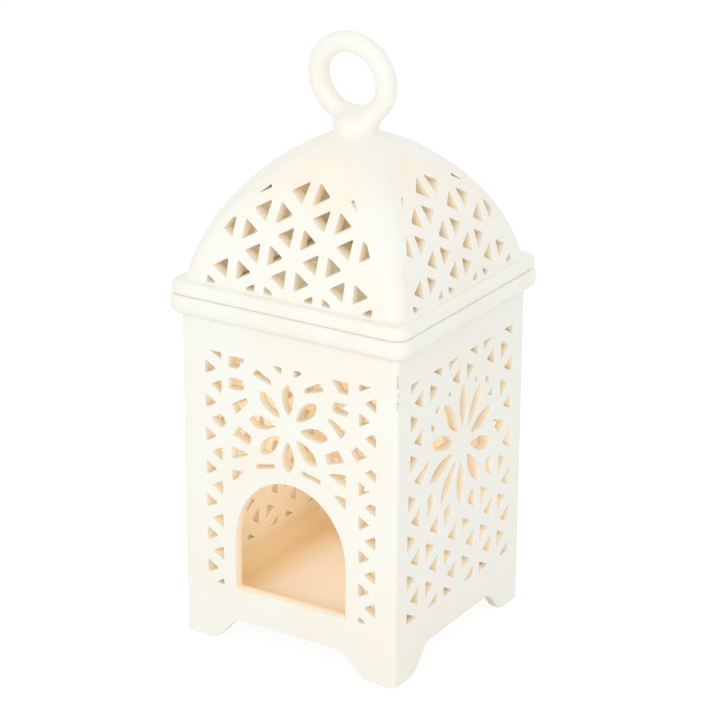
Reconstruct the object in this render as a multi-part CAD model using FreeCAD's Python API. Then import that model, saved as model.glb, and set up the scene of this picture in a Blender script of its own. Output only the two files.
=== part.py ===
import FreeCAD, Part
import math
import os

# Lantern oil burner in glazed earthenware: a square pierced body on four feet, an oil dish
# that hangs in its mouth, and a vaulted pierced lid that lifts off by a ring.
# Millimetres, +Z up, the door faces -Y, the origin is under the middle of the four feet.

Vector = FreeCAD.Vector
root_three = math.sqrt(3)
reach_past = 1.0  # how far a cutter runs past the face it cuts
same_height = 0.01  # heights closer than this count as level

# Body walls
body_width = 91.0
wall_thickness = 3.8
wall_corner_radius = 1.8
chamber_corner_radius = 1.5
wall_height = 127.0

# Feet and skirt
skirt_height = 9.8
skirt_flat_width = 46.4
skirt_toe_width = 64.0
skirt_curve_radius = 6.0
sole_edge_radius = 1.2

# Chamber floor
floor_thickness = 3.8
floor_above_skirt = 0.4

# Door in the front wall
door_width = 47.4
door_sill_above_floor = 8.6
door_straight_height = 19.4
door_arch_rise = 27.0

# Rolled rim of the body, and the rebate in it that the dish hangs in
rim_height = 7.5
rim_overhang = 4.4
rim_ledge = 0.1
rim_top_radius = 2.0
rebate_width = 3.7
rebate_depth = 5.8
rebate_corner_radius = 3.5

# Oil dish
dish_side_gap = 0.6
dish_flange_thickness = 2.8
dish_bowl_width = 64.0
dish_bowl_depth = 19.0
dish_bowl_curve = 11.0
dish_wall_thickness = 3.2
dish_edge_radius = 1.0

# Lid rim and the lip that centres the lid in the rebate
lid_rim_height = 5.1
lid_rim_overhang = 3.7
lid_rim_top_radius = 2.2
lid_rim_edge_radius = 1.1
lid_lip_depth = 2.4
lid_lip_gap = 0.6

# Lid vault: four curved faces that meet at hips
vault_rise = 54.2
vault_radius = 73.3
vault_thickness = 3.8
vault_hip_radius = 5.0
vault_cove_radius = 1.4
vault_cove_ledge = 0.1

# Neck and lifting ring
neck_root_width = 19.2
neck_root_depth = 9.0
neck_width = 16.4
neck_foot_below_crown = 3.6
neck_foot_curve = 1.2
neck_shoulder_curve = 4.5
neck_reach_up_ring = 5.6
ring_bore = 20.6
ring_thickness = 7.5
ring_middle_above_crown = 15.4

# Fretwork on the walls
fret_above_skirt = 13.5
fret_below_rim = 12.9

# Triangle lattice of the side and back walls, with its rosette
side_fret_margin = 8.3
side_fret_columns = 6
side_fret_bar = 4.8
side_rosette_height = 79.5
side_rosette_petals = 10
side_rosette_width = 46.2
side_rosette_eye = 13.0
side_petal_width = 5.2
side_petal_shoulder = 0.55

# Two triangle strips beside the door, with a rosette over it
front_fret_margin = 9.4
front_fret_column = 11.4
front_fret_bar = 4.6
front_fret_drop = 0.9
front_rosette_height = 91.2
front_rosette_petals = 8
front_rosette_width = 33.8
front_rosette_eye = 10.0
front_petal_width = 4.8
front_petal_shoulder = 0.6

# Triangle lattice of the lid
lid_fret_width = 68.8
lid_fret_columns = 6
lid_fret_rows = 6
lid_fret_bar = 4.0
lid_fret_hip_margin = 7.5
lid_fret_above_rim = 0.8

# Shapes cut between the lattice and the rosette, on the right half of the wall.
# Each is a short outline across and up from the middle of its rosette.
side_filler_cells = [
    [(11.4, -29.0), (11.3, -22.5), (10.0, -21.4), (7.6, -21.4), (5.8, -25.2)],
    [(23.3, -21.1), (23.3, -13.2), (21.8, -12.2), (19.2, -12.5), (18.9, -17.2)],
    [(34.0, -2.9), (24.2, 1.5), (23.6, -0.3), (28.6, -6.1)],
    [(23.0, 14.9), (19.2, 12.5), (22.8, 11.3)],
    [(17.3, 21.0), (20.8, 18.9), (17.6, 17.5)],
    [(10.8, 23.6), (7.6, 21.3), (10.9, 21.5)],
]
front_filler_cells = [
    [(2.5, 22.9), (6.8, 22.9), (2.8, 20.0)],
    [(18.0, 22.9), (25.2, 22.9), (25.2, 18.4), (21.5, 18.6)],
    [(6.8, 15.1), (7.3, 17.0), (13.3, 20.3), (15.2, 17.6)],
    [(18.6, 11.4), (19.3, 14.6), (25.2, 14.8), (25.2, 10.3), (20.0, 10.4)],
    [(16.8, 6.8), (17.8, 8.1), (24.4, 4.4), (22.2, 1.0)],
    [(26.4, -3.1), (28.7, -0.4), (33.3, -3.1), (28.7, -6.0)],
    [(15.4, -6.5), (21.2, -3.4), (23.7, -7.5), (16.8, -10.0)],
    [(16.8, -13.8), (18.5, -13.0), (24.4, -12.1), (24.2, -17.0)],
    [(5.9, -15.1), (5.9, -16.2), (13.8, -18.2), (13.7, -16.9)],
    [(19.0, -20.8), (24.3, -21.4), (24.2, -26.1)],
]

# Sizes worked out from those above
body_half = body_width / 2
chamber_half = body_half - wall_thickness
seam_height = wall_height + rim_height
floor_bottom = skirt_height + floor_above_skirt
floor_top = floor_bottom + floor_thickness
rebate_half = chamber_half + rebate_width
rebate_floor = seam_height - rebate_depth
lid_rim_top = seam_height + lid_rim_height
vault_crown = lid_rim_top + vault_rise
neck_foot = vault_crown - neck_foot_below_crown
ring_radius = (ring_bore + ring_thickness) / 2
ring_middle = vault_crown + ring_middle_above_crown
fret_bottom = skirt_height + fret_above_skirt
fret_top = wall_height - fret_below_rim


def on_elevation(across, up):
    """A point on the upright plane through the middle, as seen from the door side."""
    return Vector(across, 0, up)


def quarter_turned(shape, quarters):
    """A copy turned about the upright axis, from the door side towards the right."""
    turned = shape.copy()
    turned.rotate(Vector(0, 0, 0), Vector(0, 0, 1), 90 * quarters)
    return turned


def face_of(edges):
    return Part.Face(Part.Wire(edges))


def polygon_face(points):
    return Part.Face(Part.makePolygon(points + points[:1]))


def mirrored(points):
    return [Vector(-p.x, p.y, p.z) for p in points]


def tangent_arc(before, corner, after, radius):
    """The arc that rounds a corner of a polyline, tangent to both of its runs."""
    back = (before - corner).normalize()
    ahead = (after - corner).normalize()
    half_angle = back.getAngle(ahead) / 2
    bisector = (back + ahead).normalize()
    centre = corner + bisector * (radius / math.sin(half_angle))
    run = radius / math.tan(half_angle)
    return Part.Arc(corner + back * run, centre - bisector * radius, corner + ahead * run).toShape()


def rounded_polyline(corners):
    """Edges of a closed polyline. A corner is a point and the radius that rounds it, or 0."""
    count = len(corners)
    arcs = []
    for i, (corner, radius) in enumerate(corners):
        before = corners[i - 1][0]
        after = corners[(i + 1) % count][0]
        arcs.append(tangent_arc(before, corner, after, radius) if radius else None)
    edges = []
    for i in range(count):
        following = (i + 1) % count
        start = arcs[i].Vertexes[-1].Point if arcs[i] else corners[i][0]
        end = arcs[following].Vertexes[0].Point if arcs[following] else corners[following][0]
        if arcs[i]:
            edges.append(arcs[i])
        edges.append(Part.LineSegment(start, end).toShape())
    return edges


def rounded_slab(half_width, corner_radius, low, high):
    """A square slab about the upright axis, with its four upright corners rounded."""
    slab = Part.makeBox(2 * half_width, 2 * half_width, high - low, Vector(-half_width, -half_width, low))
    upright = [edge for edge in slab.Edges if edge.BoundBox.ZLength > (high - low) / 2]
    return slab.makeFillet(corner_radius, upright)


def softened(shape, height, radius):
    """The shape with every edge that lies level at the given height rounded."""
    level = [
        edge for edge in shape.Edges
        if abs(edge.BoundBox.ZMin - height) < same_height and abs(edge.BoundBox.ZMax - height) < same_height
    ]
    return shape.makeFillet(radius, level)


def door_side_wedge(low, high):
    """The quarter of space in front of the two diagonals, where the door wall and panel lie."""
    far = 2 * body_width
    corners = [Vector(0, 0, low), Vector(-far, -far, low), Vector(far, -far, low)]
    return polygon_face(corners).extrude(Vector(0, 0, high - low))


# Fretwork outlines

def lattice_cell(line, middle, side, column, bar):
    """A triangle beside an upright bar: side is 1 to the right of the bar and -1 to its left."""
    height = column - 1.5 * bar
    half_side = height / root_three
    root = line + side * bar / 2
    return [
        on_elevation(root, middle - half_side),
        on_elevation(root, middle + half_side),
        on_elevation(root + side * height, middle),
    ]


def middle_of(points):
    total = Vector(0, 0, 0)
    for p in points:
        total = total + p
    return total / len(points)


def lattice_cells(columns, column, bar, first_row, rows, odd_first):
    """Triangles of an even lattice about the middle, row by row upwards."""
    reach = columns // 2
    cells = []
    for row in range(rows):
        middle = first_row + row * column / root_three
        for line in range(-reach, reach + 1):
            if (line + row) % 2 == odd_first:
                cells.append(lattice_cell(line * column, middle, -1, column, bar))
                cells.append(lattice_cell(line * column, middle, 1, column, bar))
    return cells


def filler_outlines(cells, rosette_height):
    """The hand-drawn shapes about a rosette, on both halves of the wall."""
    right = [[on_elevation(u, rosette_height + v) for u, v in cell] for cell in cells]
    return right + [mirrored(cell) for cell in right]


def petal_face(inner, outer, width, shoulder):
    """A petal that points up from the origin, widest at the shoulder's share of its length."""
    half = width / 2
    length = outer - inner
    widest = inner + shoulder * length
    edges = []
    for side in (-1, 1):
        for tip in (inner, outer):
            reach = abs(widest - tip)
            radius = (reach ** 2 + half ** 2) / (2 * half)
            half_turn = math.asin(reach / radius) / 2
            towards = 1 if tip > widest else -1
            bulge = on_elevation(
                side * (half - radius * (1 - math.cos(half_turn))),
                widest + towards * radius * math.sin(half_turn),
            )
            edges.append(Part.Arc(on_elevation(0, tip), bulge, on_elevation(side * half, widest)).toShape())
    return face_of(Part.__sortEdges__(edges))


def rosette_faces(petals, height, eye, spread, width, shoulder):
    faces = []
    for i in range(petals):
        petal = petal_face(eye / 2, spread / 2, width, shoulder)
        petal.rotate(Vector(0, 0, 0), Vector(0, 1, 0), 360 * i / petals)
        petal.translate(on_elevation(0, height))
        faces.append(petal)
    return faces


def cutters(faces, outside, depth):
    """Straight cutters that run inwards from the door side."""
    solids = []
    for face in faces:
        cutter = face.copy()
        cutter.translate(Vector(0, -outside - reach_past, 0))
        solids.append(cutter.extrude(Vector(0, depth + 2 * reach_past, 0)))
    return solids


def kept_in_window(solids, window):
    """The cutters cropped to a window, without those that lie outside it."""
    cropped = [solid.common(window) for solid in solids]
    return [solid for solid in cropped if solid.Volume > 1.0]


def wall_window(margin):
    half = body_half - margin
    corners = [
        on_elevation(-half, fret_bottom),
        on_elevation(half, fret_bottom),
        on_elevation(half, fret_top),
        on_elevation(-half, fret_top),
    ]
    return cutters([polygon_face(corners)], body_half, wall_thickness)[0]


# Body

def skirt_outline():
    """The arch under a wall between two feet, with a soft sweep down to each toe."""
    flat = skirt_flat_width / 2
    toe = skirt_toe_width / 2
    sole = toe + 2 * skirt_curve_radius
    below = -skirt_height
    corners = [
        (on_elevation(-sole, below), 0),
        (on_elevation(sole, below), 0),
        (on_elevation(sole, 0), 0),
        (on_elevation(toe, 0), skirt_curve_radius),
        (on_elevation(flat, skirt_height), skirt_curve_radius),
        (on_elevation(-flat, skirt_height), skirt_curve_radius),
        (on_elevation(-toe, 0), skirt_curve_radius),
        (on_elevation(-sole, 0), 0),
    ]
    return face_of(rounded_polyline(corners))


def plain_wall():
    """A wall of the square tube on the door side, mitred at its corners."""
    outside = softened(rounded_slab(body_half, wall_corner_radius, 0, wall_height), 0, sole_edge_radius)
    inside = rounded_slab(chamber_half, chamber_corner_radius, -reach_past, wall_height + reach_past)
    wall = outside.cut(inside).common(door_side_wedge(0, wall_height))
    return wall.cut(cutters([skirt_outline()], body_half, wall_thickness))


def door_face():
    """A door with upright jambs under a half-elliptical arch."""
    half = door_width / 2
    sill = floor_top + door_sill_above_floor
    spring = sill + door_straight_height
    side = on_elevation(half, spring)
    top = on_elevation(0, spring + door_arch_rise)
    if door_arch_rise > half:
        arch = Part.Ellipse(top, side, on_elevation(0, spring)).toShape(-math.pi / 2, math.pi / 2)
    else:
        arch = Part.Ellipse(side, top, on_elevation(0, spring)).toShape(0, math.pi)
    ends = sorted((vertex.Point for vertex in arch.Vertexes), key=lambda p: p.x)
    jambs = Part.makePolygon([ends[0], on_elevation(-half, sill), on_elevation(half, sill), ends[1]])
    return face_of(Part.__sortEdges__([arch] + jambs.Edges))


def side_fretwork():
    """Lattice, rosette and the shapes between them, for a wall with no door."""
    column = (body_width - 2 * side_fret_margin + side_fret_bar) / side_fret_columns
    rows = 1 + round((fret_top - fret_bottom) * root_three / column)
    fillers = filler_outlines(side_filler_cells, side_rosette_height)
    filler_middles = [middle_of(cell) for cell in fillers]
    rosette_middle = on_elevation(0, side_rosette_height)
    clear_of_rosette = side_rosette_width / 2 + side_fret_bar
    cells = []
    for cell in lattice_cells(side_fret_columns, column, side_fret_bar, fret_bottom, rows, 1):
        middle = middle_of(cell)
        outside_rosette = middle.distanceToPoint(rosette_middle) > clear_of_rosette
        if outside_rosette and all(middle.distanceToPoint(m) > side_fret_bar for m in filler_middles):
            cells.append(cell)
    faces = [polygon_face(cell) for cell in cells + fillers]
    faces += rosette_faces(
        side_rosette_petals, side_rosette_height, side_rosette_eye,
        side_rosette_width, side_petal_width, side_petal_shoulder,
    )
    return kept_in_window(cutters(faces, body_half, wall_thickness), wall_window(side_fret_margin))


def front_fretwork():
    """A triangle strip down each side of the door, and a rosette with its shapes above it."""
    outer_line = body_half - front_fret_margin + front_fret_bar / 2
    inner_line = outer_line - front_fret_column
    half_pitch = front_fret_column / root_three
    first_row = fret_bottom - front_fret_drop
    rows = 1 + round((fret_top - first_row) / half_pitch)
    fillers = filler_outlines(front_filler_cells, front_rosette_height)
    filler_middles = [middle_of(cell) for cell in fillers]
    cells = []
    for row in range(rows):
        line = outer_line if row % 2 else inner_line
        side = -1 if row % 2 else 1
        cell = lattice_cell(line, first_row + row * half_pitch, side, front_fret_column, front_fret_bar)
        if all(middle_of(cell).distanceToPoint(m) > front_fret_bar for m in filler_middles):
            cells += [cell, mirrored(cell)]
    faces = [polygon_face(cell) for cell in cells + fillers]
    faces += rosette_faces(
        front_rosette_petals, front_rosette_height, front_rosette_eye,
        front_rosette_width, front_petal_width, front_petal_shoulder,
    )
    return kept_in_window(cutters(faces, body_half, wall_thickness), wall_window(front_fret_margin))


def front_wall():
    return plain_wall().cut(front_fretwork() + cutters([door_face()], body_half, wall_thickness))


def pierced_wall():
    return plain_wall().cut(side_fretwork())


def chamber_floor():
    return rounded_slab(chamber_half, chamber_corner_radius, floor_bottom, floor_top)


def body_rim():
    """The rolled rim: round underneath down to a narrow ledge, with the rebate inside."""
    outer_corner = wall_corner_radius + rim_overhang
    rim = rounded_slab(body_half + rim_overhang, outer_corner, wall_height, seam_height)
    rim = softened(rim, seam_height, rim_top_radius)
    rim = softened(rim, wall_height, rim_overhang - rim_ledge)
    mouth = rounded_slab(chamber_half, chamber_corner_radius, wall_height - reach_past, seam_height)
    rebate = rounded_slab(rebate_half, rebate_corner_radius, rebate_floor, seam_height + reach_past)
    return rim.cut([mouth, rebate])


# Oil dish

def bowl_of_revolution(half_width, top, bottom, curve):
    """A solid round bowl shape, flat underneath, with a curve up to its wall."""
    corners = [
        (on_elevation(0, top), 0),
        (on_elevation(0, bottom), 0),
        (on_elevation(half_width, bottom), curve),
        (on_elevation(half_width, top), 0),
    ]
    return face_of(rounded_polyline(corners)).revolve(Vector(0, 0, 0), Vector(0, 0, 1), 360)


def oil_dish():
    """A round bowl in a square flange that hangs in the rebate of the rim."""
    flange_top = rebate_floor + dish_flange_thickness
    flange = rounded_slab(
        rebate_half - dish_side_gap, rebate_corner_radius - dish_side_gap, rebate_floor, flange_top
    )
    flange = softened(flange, flange_top, dish_edge_radius)
    inner = dish_bowl_width / 2
    inner_bottom = flange_top - dish_bowl_depth
    outside = bowl_of_revolution(
        inner + dish_wall_thickness, rebate_floor,
        inner_bottom - dish_wall_thickness, dish_bowl_curve + dish_wall_thickness,
    )
    hollow = bowl_of_revolution(inner, flange_top + reach_past, inner_bottom, dish_bowl_curve)
    dish = flange.fuse(outside).cut(hollow).removeSplitter()
    bowl_lip = [
        edge for edge in dish.Edges
        if edge.BoundBox.ZLength < same_height
        and abs(edge.BoundBox.ZMax - flange_top) < same_height
        and abs(edge.BoundBox.XLength - dish_bowl_width) < dish_edge_radius
    ]
    return dish.makeFillet(dish_edge_radius, bowl_lip)


# Lid

def lid_rim():
    """The lid's rolled rim, flat underneath where it sits, with the centring lip below."""
    outer_corner = wall_corner_radius + lid_rim_overhang
    rim = rounded_slab(body_half + lid_rim_overhang, outer_corner, seam_height, lid_rim_top)
    rim = softened(rim, seam_height, lid_rim_edge_radius)
    rim = softened(rim, lid_rim_top, lid_rim_top_radius)
    lip_half = rebate_half - lid_lip_gap
    lip = rounded_slab(lip_half, rebate_corner_radius - lid_lip_gap, seam_height - lid_lip_depth, seam_height)
    inside = rounded_slab(
        chamber_half, chamber_corner_radius, seam_height - lid_lip_depth - reach_past, lid_rim_top + reach_past
    )
    return rim.fuse(lip).cut(inside).removeSplitter()


def vault_centre():
    """The middle of the arc that runs from the lid rim to the crown, on the far side."""
    foot = on_elevation(body_half, lid_rim_top)
    crown = on_elevation(0, vault_crown)
    chord = crown - foot
    away = Vector(-chord.z, 0, chord.x).normalize()
    if away.z > 0:
        away = away * -1
    depth = math.sqrt(vault_radius ** 2 - (chord.Length / 2) ** 2)
    return (foot + crown) / 2 + away * depth


def vault_half_width(inset, height):
    centre = vault_centre()
    return centre.x + math.sqrt((vault_radius - inset) ** 2 - (height - centre.z) ** 2)


def vault_outline(inset, low):
    """The pointed elevation of the vault above a level, drawn in by an inset."""
    centre = vault_centre()
    radius = vault_radius - inset
    foot_half = vault_half_width(inset, low)
    peak = centre.z + math.sqrt(radius ** 2 - centre.x ** 2)
    foot_angle = math.asin((low - centre.z) / radius)
    peak_angle = math.asin((peak - centre.z) / radius)
    middle_angle = (foot_angle + peak_angle) / 2
    bulge = centre + on_elevation(math.cos(middle_angle), math.sin(middle_angle)) * radius
    right = Part.Arc(on_elevation(foot_half, low), bulge, on_elevation(0, peak))
    left = Part.Arc(on_elevation(0, peak), mirrored([bulge])[0], on_elevation(-foot_half, low))
    base = Part.LineSegment(on_elevation(-foot_half, low), on_elevation(foot_half, low))
    return face_of([right.toShape(), left.toShape(), base.toShape()])


def vault_solid(inset, low):
    """Two crossing pointed vaults: the space that both of them hold."""
    outline = vault_outline(inset, low)
    outline.translate(Vector(0, -body_width, 0))
    barrel = outline.extrude(Vector(0, 2 * body_width, 0))
    return barrel.common(quarter_turned(barrel, 1))


def soft_vault():
    """The solid vault with soft hips, cut off where the foot of the neck stands on it."""
    crown_box = Part.makeBox(body_width, body_width, vault_rise, Vector(-body_half, -body_half, neck_foot))
    vault = vault_solid(0, lid_rim_top).cut(crown_box)
    hips = []
    for edge in vault.Edges:
        low_end, high_end = sorted((vertex.Point for vertex in edge.Vertexes), key=lambda p: p.z)
        if high_end.z - low_end.z > vault_rise / 2:
            hips.append(edge)
    return vault.makeFillet(vault_hip_radius, hips)


def vault_foot():
    """A low block under the vault, with the cove round it that leads up from the rim."""
    high = lid_rim_top + vault_cove_radius
    half = vault_half_width(0, high) - vault_cove_ledge
    spread = 2 * vault_cove_radius
    block = rounded_slab(
        half + vault_cove_radius, vault_hip_radius + vault_cove_radius, lid_rim_top, high
    )
    frame = rounded_slab(half + spread, vault_hip_radius + spread, lid_rim_top, high + reach_past)
    frame = frame.cut(rounded_slab(half, vault_hip_radius, lid_rim_top - reach_past, high + 2 * reach_past))
    frame = softened(frame, lid_rim_top, vault_cove_radius - vault_cove_ledge)
    return block.cut(frame)


def plain_panel():
    """One face of the vault on the door side as a shell, mitred at the hips."""
    wedge = door_side_wedge(lid_rim_top, vault_crown)
    outside = soft_vault().common(wedge).fuse(vault_foot().common(wedge)).removeSplitter()
    return outside.cut([vault_solid(vault_thickness, lid_rim_top - reach_past), neck_blank()])


def lid_panel():
    """One face of the vault on the door side, pierced by the lattice."""
    panel = plain_panel()
    column = (lid_fret_width + lid_fret_bar) / lid_fret_columns
    cells = lattice_cells(lid_fret_columns, column, lid_fret_bar, lid_rim_top, lid_fret_rows, 1)
    outermost = (lid_fret_columns // 2 - 1) * column + column / 2
    kept = [
        cell for cell in cells
        if cell[0].z < lid_rim_top or abs(cell[0].x) < outermost
    ]
    faces = [polygon_face(cell) for cell in kept]
    window_face = vault_outline(lid_fret_hip_margin, lid_rim_top + lid_fret_above_rim)
    outside = body_half + lid_rim_overhang
    window = cutters([window_face], outside, outside)[0]
    return panel.cut(kept_in_window(cutters(faces, outside, outside), window))


# Neck and ring

def neck_blank():
    """The neck before the ring is let into it: a plug through the crown that narrows to a round column."""
    root_half = neck_root_width / 2
    column_half = neck_width / 2
    bottom = vault_crown - neck_root_depth
    top = ring_middle - ring_radius - ring_thickness / 2 + neck_reach_up_ring
    corners = [
        (on_elevation(0, bottom), 0),
        (on_elevation(root_half, bottom), 0),
        (on_elevation(root_half, neck_foot), 0),
        (on_elevation(column_half, neck_foot), neck_foot_curve),
        (on_elevation(column_half, top), neck_shoulder_curve),
        (on_elevation(0, top), 0),
    ]
    return face_of(rounded_polyline(corners)).revolve(Vector(0, 0, 0), Vector(0, 0, 1), 360)


def lifting_ring():
    return Part.makeTorus(ring_radius, ring_thickness / 2, Vector(0, 0, ring_middle), Vector(0, 1, 0))


def lid_neck():
    return neck_blank().cut(lifting_ring())


os.makedirs("parts", exist_ok=True)
wall = pierced_wall()
panel = lid_panel()
nodes = {
    "front_wall": front_wall(),
    "right_wall": quarter_turned(wall, 1),
    "back_wall": quarter_turned(wall, 2),
    "left_wall": quarter_turned(wall, 3),
    "chamber_floor": chamber_floor(),
    "body_rim": body_rim(),
    "oil_dish": oil_dish(),
    "lid_rim": lid_rim(),
    "lid_front_panel": panel,
    "lid_right_panel": quarter_turned(panel, 1),
    "lid_back_panel": quarter_turned(panel, 2),
    "lid_left_panel": quarter_turned(panel, 3),
    "lid_neck": lid_neck(),
    "lifting_ring": lifting_ring(),
}
for name, shape in nodes.items():
    print(name, "solids", len(shape.Solids), "volume", round(shape.Volume, 1), "valid", shape.isValid())
    shape.exportStep(f"parts/{name}.step")
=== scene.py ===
import math
from collections import namedtuple

import bmesh
import bpy
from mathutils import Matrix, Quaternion, Vector
from mathutils.geometry import delaunay_2d_cdt


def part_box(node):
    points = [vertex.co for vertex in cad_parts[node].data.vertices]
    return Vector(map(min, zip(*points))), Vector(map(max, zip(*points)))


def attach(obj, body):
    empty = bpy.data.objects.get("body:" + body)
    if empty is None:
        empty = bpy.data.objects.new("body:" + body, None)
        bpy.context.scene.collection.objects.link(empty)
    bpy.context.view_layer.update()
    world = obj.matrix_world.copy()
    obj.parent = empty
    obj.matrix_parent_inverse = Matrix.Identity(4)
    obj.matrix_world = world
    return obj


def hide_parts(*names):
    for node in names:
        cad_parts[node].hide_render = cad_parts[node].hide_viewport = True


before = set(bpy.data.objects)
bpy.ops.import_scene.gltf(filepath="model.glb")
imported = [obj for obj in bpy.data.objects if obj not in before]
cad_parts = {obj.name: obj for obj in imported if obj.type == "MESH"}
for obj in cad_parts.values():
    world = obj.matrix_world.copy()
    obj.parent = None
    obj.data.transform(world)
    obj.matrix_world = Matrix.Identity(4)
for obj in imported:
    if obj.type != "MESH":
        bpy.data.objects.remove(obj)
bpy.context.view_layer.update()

# Lantern oil burner in ivory glaze: pierced body, oil dish and vaulted lid with a lifting ring.
# Shapes are worked out in millimetres, +Z up, with the door facing -Y, and made in metres.

mm = 0.001
root_three = math.sqrt(3)


def span(node):
    """Lowest and highest corner of a clay part, in millimetres."""
    low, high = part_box(node)
    return low / mm, high / mm


# Sizes read from the clay parts
wall_low, wall_high = span("front_wall")
floor_low, floor_high = span("chamber_floor")
_, rim_high = span("body_rim")
dish_low, dish_high = span("oil_dish")
lid_rim_low, lid_rim_high = span("lid_rim")
panel_low, _ = span("lid_front_panel")
neck_low, neck_high = span("lid_neck")
ring_low, ring_high = span("lifting_ring")

body_half = -wall_low.y
chamber_half = floor_high.x
wall_thickness = body_half - chamber_half
wall_height = wall_high.z
seam_height = rim_high.z
lid_rim_top = panel_low.z

# Softness that firing and glazing leave on the clay
cut_edge = 0.35
cut_edge_steps = 3
cut_narrowing = 0.35
cut_corner = 0.45
least_cut = 1.0
corner_step = math.radians(30)
turn_steps = 9
crisp_from = math.radians(50)
fair_share = 0.98

# How near counts as the same place, and how meshes are shaded
weld = 0.002
same_place = 1e-3
same_corner = 1e-5
height_digits = 6
flat_weight = 100

# Plan of the body
wall_corner = 1.8
chamber_corner = 1.5
seam_beside_corner = 0.5
wall_into_rim = 1.0
floor_cove = 6.0
floor_into_wall = 0.06
cove_turn = math.radians(10)

# Feet and skirt
skirt_height = 9.8
skirt_flat_width = 46.4
skirt_toe_width = 64.0
skirt_curve = 6.0

# Door
door_width = 47.4
door_sill = 22.6
door_straight_height = 19.4
door_arch_rise = 27.5
door_arch_steps = 32

# Rims
rim_inset = 0.05
rim_overlap = 0.01
rim_root = 1.0
rebate_half = chamber_half + 3.7
rebate_corner = 3.5
rebate_depth = 5.8
rim_edge = 2.0
rim_roll = 3.3
rim_cove = 1.0
lid_lip_half = rebate_half - 0.6
lid_edge = 1.1
lid_roll = 2.2
lid_cove = 1.4

# Oil dish
dish_corner = 2.9
dish_edge = 1.0
dish_bowl_half = 32.0
dish_bowl_curve = 11.0
dish_wall = 3.2
dish_flange = 2.8
dish_least_corner = 0.2
dish_flange_curve = 1.5
dish_middle = 0.5
dish_run = 3 * dish_edge
dish_under_run = 2.0

# Lid vault
vault_rise = 54.2
vault_radius = 73.3
vault_hip = 5.0
vault_inner_hip = 0.8
vault_fullness = 2.0
vault_full_from = 172.0
vault_full_to = 181.0
hip_by_fullness = math.sqrt(2) / (math.sqrt(2) - 1)
vault_into_rim = 0.05
cove_steps = 6
vault_step = 1.4
hip_steps = 24
crown_gap = 0.8

# Neck
neck_half = 8.2
neck_shoulder = 4.5
neck_tip = 0.5
neck_foot_curve = 1.2
neck_joint = 191.2
crown_round_from = 15.0
crown_steps = 16

# Lifting ring, set on its neck by hand
ring_thicker = 0.12
ring_tube_radius = ring_high.y + ring_thicker
ring_radius = ring_high.x - ring_high.y
ring_lean = math.radians(8)
ring_aside = -1.6
ring_forward = -0.1
ring_joint = 3.6
joint_from = neck_joint - 1
joint_full = neck_joint + 3
ring_steps = 96
tube_steps = 32
ring_voxel = 0.3
settle_probe = 0.01
settle_rounds = 3

# Lattices and rosettes
fret_bottom = 23.3
fret_top = 114.1
fret_past_ends = 0.45
bars_per_column = 1.5  # half a bar at a triangle's upright side and a whole one at its tip
side_fret_margin = 8.3
side_fret_columns = 6
side_fret_bar = 4.55
side_rosette_height = 79.5
side_rosette_petals = 10
side_rosette_width = 47.8
side_rosette_clear = 27.65
side_rosette_eye = 13.0
side_petal_width = 5.4
side_petal_shoulder = 0.55
side_drift_across = 1.5
side_drift_back = 0.3
side_drift_up = 0.4
drift_none_at = 20.0
drift_full_at = -5.0
drift_low = 62.0
drift_high = 88.0
drift_top = 112.0
drift_fade = 16.0
front_fret_margin = 9.4
front_fret_column = 11.4
front_fret_bar = 4.4
front_fret_drop = 0.9
front_drift = 0.65
front_rosette_height = 91.2
front_rosette_petals = 8
front_rosette_width = 33.8
front_rosette_eye = 10.0
front_petal_width = 5.0
front_petal_shoulder = 0.6
petal_steps = 6
lid_fret_width = 68.8
lid_fret_columns = 6
lid_fret_rows = 6
lid_fret_bar = 4.0
lid_fret_hip_margin = 7.1
lid_fret_above_rim = 0.8

# Cuts between lattice and rosette on the right half of a wall, from the rosette's middle
side_filler_cells = [
    [(11.4, -29.0), (11.3, -22.5), (10.0, -21.4), (7.6, -21.4), (5.8, -25.2)],
    [(23.3, -21.1), (23.3, -13.2), (21.8, -12.2), (19.2, -12.5), (18.9, -17.2)],
    [(34.0, -2.9), (24.2, 1.5), (23.6, -0.3), (28.6, -6.1)],
    [(23.0, 14.9), (19.2, 12.5), (22.8, 11.3)],
    [(17.3, 21.0), (20.8, 18.9), (17.6, 17.5)],
    [(10.8, 23.6), (7.6, 21.3), (10.9, 21.5)],
]
# The back wall's pair under the rosette is cut lower: no light shows through it from the front
back_filler_cells = [[(11.4, -29.6), (11.4, -25.7), (5.9, -25.7)], *side_filler_cells[1:]]
front_filler_cells = [
    [(2.5, 22.9), (6.8, 22.9), (2.8, 20.0)],
    [(18.0, 22.9), (25.2, 22.9), (25.2, 18.4), (21.5, 18.6)],
    [(6.8, 15.1), (7.3, 17.0), (13.3, 20.3), (15.2, 17.6)],
    [(18.6, 11.4), (19.3, 14.6), (25.2, 14.8), (25.2, 10.3), (20.0, 10.4)],
    [(16.8, 6.8), (17.8, 8.1), (24.4, 4.4), (22.2, 1.0)],
    [(26.4, -3.1), (28.7, -0.4), (33.3, -3.1), (28.7, -6.0)],
    [(15.4, -6.5), (21.2, -3.4), (23.7, -7.5), (16.8, -10.0)],
    [(16.8, -13.8), (18.5, -13.0), (24.4, -12.1), (24.2, -17.0)],
    [(5.9, -14.8), (5.9, -16.5), (13.8, -18.5), (13.7, -16.6)],
    [(19.0, -20.8), (24.3, -21.4), (24.2, -26.1)],
]


# Outlines of the cuts, across and up

def clamped(value):
    return min(1.0, max(0.0, value))


def soft_step(value, low, high):
    """0 below low and 1 above high, with a soft way between. It falls if low is above high."""
    share = clamped((value - low) / (high - low))
    return share * share * (3 - 2 * share)


def cross(a, b):
    return a.x * b.y - a.y * b.x


def area_of(loop):
    return sum(cross(loop[i - 1], loop[i]) for i in range(len(loop))) / 2


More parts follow.
